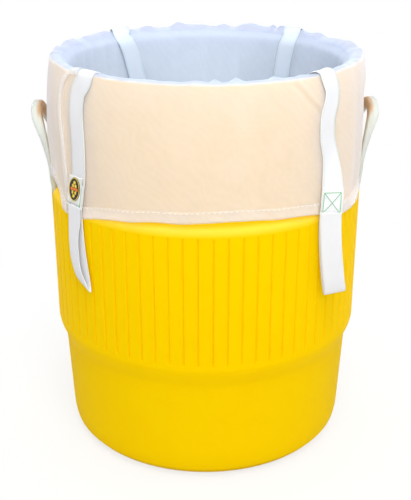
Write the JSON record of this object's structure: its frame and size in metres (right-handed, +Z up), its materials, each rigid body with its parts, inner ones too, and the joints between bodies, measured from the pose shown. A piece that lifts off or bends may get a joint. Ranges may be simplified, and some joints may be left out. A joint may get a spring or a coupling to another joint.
{
  "type": "double wall straining tub with mesh bag",
  "caption": "Round fluted insulated tub lined with a lift-out mesh straining bag, its hem folded over the rim; swing-up side handles and a press tap.",
  "frame": {"origin": "centre of the tub's flat base, on the ground plane", "axes": "+Z up along the tub's axis, -Y towards the front, away from the tap, +X towards the right-hand handle"},
  "size_m": [0.4276, 0.4462, 0.5052],
  "materials": {
    "shell_plastic": "glossy, lightly scuffed moulded polyethylene",
    "white_plastic": "smooth food-grade plastic",
    "foam": "rigid insulating foam",
    "handle_plastic": "off-white satin plastic",
    "steel": "bright steel wire and rod",
    "mesh": "fine translucent nylon mesh",
    "hem": "folded hem, two layers of mesh",
    "webbing": "white woven webbing",
    "thread": "green sewing thread",
    "label": "smooth woven label",
    "badge": "dark woven oval with a plain ring and hexagons",
    "tap_plastic": "moulded white tap plastic",
    "rubber_black": "black rubber"
  },
  "bodies": {
    "tub": {"outer_shell": "shell_plastic", "inner_liner": "white_plastic", "insulation_foam": "foam", "base_fill_plug": "white_plastic", "handle_hinge_rod_right": "steel", "handle_hinge_rod_left": "steel", "tap_body": "tap_plastic", "tap_outer_washer": "rubber_black", "tap_inner_washer": "rubber_black", "tap_back_nut": "tap_plastic", "tap_bonnet": "tap_plastic", "tap_lever_pin": "steel", "tap_spring": "steel"},
    "bag": {"strainer_bag_wall": "mesh", "strainer_bag_floor": "mesh", "floor_seam_binding": "hem", "skirt_hem": "hem", "sling_strap_a": "webbing", "sling_strap_b": "webbing", "label_patch": "label", "oval_badge": "badge", "loop_tab_front_left": "webbing", "loop_tab_front_right": "webbing", "loop_tab_rear_right": "webbing", "loop_tab_rear_left": "webbing", "box_stitch_front_left": "thread", "box_stitch_front_right": "thread", "box_stitch_rear_right": "thread", "box_stitch_rear_left": "thread"},
    "handle_right": {"handle_right": "handle_plastic"},
    "handle_left": {"handle_left": "handle_plastic"},
    "tap_lever": {"tap_lever": "tap_plastic"},
    "tap_stem": {"tap_stem": "tap_plastic", "tap_seal": "rubber_black"},
    "loop_front_left": {"lifting_loop_front_left": "webbing"},
    "loop_front_right": {"lifting_loop_front_right": "webbing"},
    "loop_rear_right": {"lifting_loop_rear_right": "webbing"},
    "loop_rear_left": {"lifting_loop_rear_left": "webbing"}
  },
  "joints": [
    {"name": "bag_lift", "type": "slide", "parent": "tub", "child": "bag", "axis": [0, 0, 1], "range_m": [0, 0.5]},
    {"name": "handle_right_swing", "type": "hinge", "parent": "tub", "child": "handle_right", "pos_m": [0.1888, 0, 0.331], "axis": [0, 1, 0], "range_deg": [0, 120]},
    {"name": "handle_left_swing", "type": "hinge", "parent": "tub", "child": "handle_left", "pos_m": [-0.1888, 0, 0.331], "axis": [0, -1, 0], "range_deg": [0, 120]},
    {"name": "tap_press", "type": "hinge", "parent": "tub", "child": "tap_lever", "pos_m": [0, 0.215, 0.091], "axis": [-1, 0, 0], "range_deg": [0, 12]},
    {"name": "tap_stem_lift", "type": "slide", "parent": "tub", "child": "tap_stem", "axis": [0, 0, 1], "range_m": [0, 0.0025], "deforming": ["tap_spring"]},
    {"name": "loop_front_left_swing", "type": "hinge", "parent": "bag", "child": "loop_front_left", "pos_m": [-0.15152, -0.12714, 0.3416], "axis": [-0.6428, 0.766, 0], "range_deg": [0, 105]},
    {"name": "loop_front_right_swing", "type": "hinge", "parent": "bag", "child": "loop_front_right", "pos_m": [0.14228, -0.1374, 0.3416], "axis": [-0.6947, -0.7193, 0], "range_deg": [0, 105]},
    {"name": "loop_rear_right_swing", "type": "hinge", "parent": "bag", "child": "loop_rear_right", "pos_m": [0.12977, 0.14928, 0.3416], "axis": [0.7547, -0.6561, 0], "range_deg": [0, 105]},
    {"name": "loop_rear_left_swing", "type": "hinge", "parent": "bag", "child": "loop_rear_left", "pos_m": [-0.09286, 0.17465, 0.3416], "axis": [0.8829, 0.4695, 0], "range_deg": [0, 105]}
  ],
  "couplings": [
    {"joint": "tap_stem_lift", "follows": "tap_press", "m_per_rad": 0.009}
  ]
}
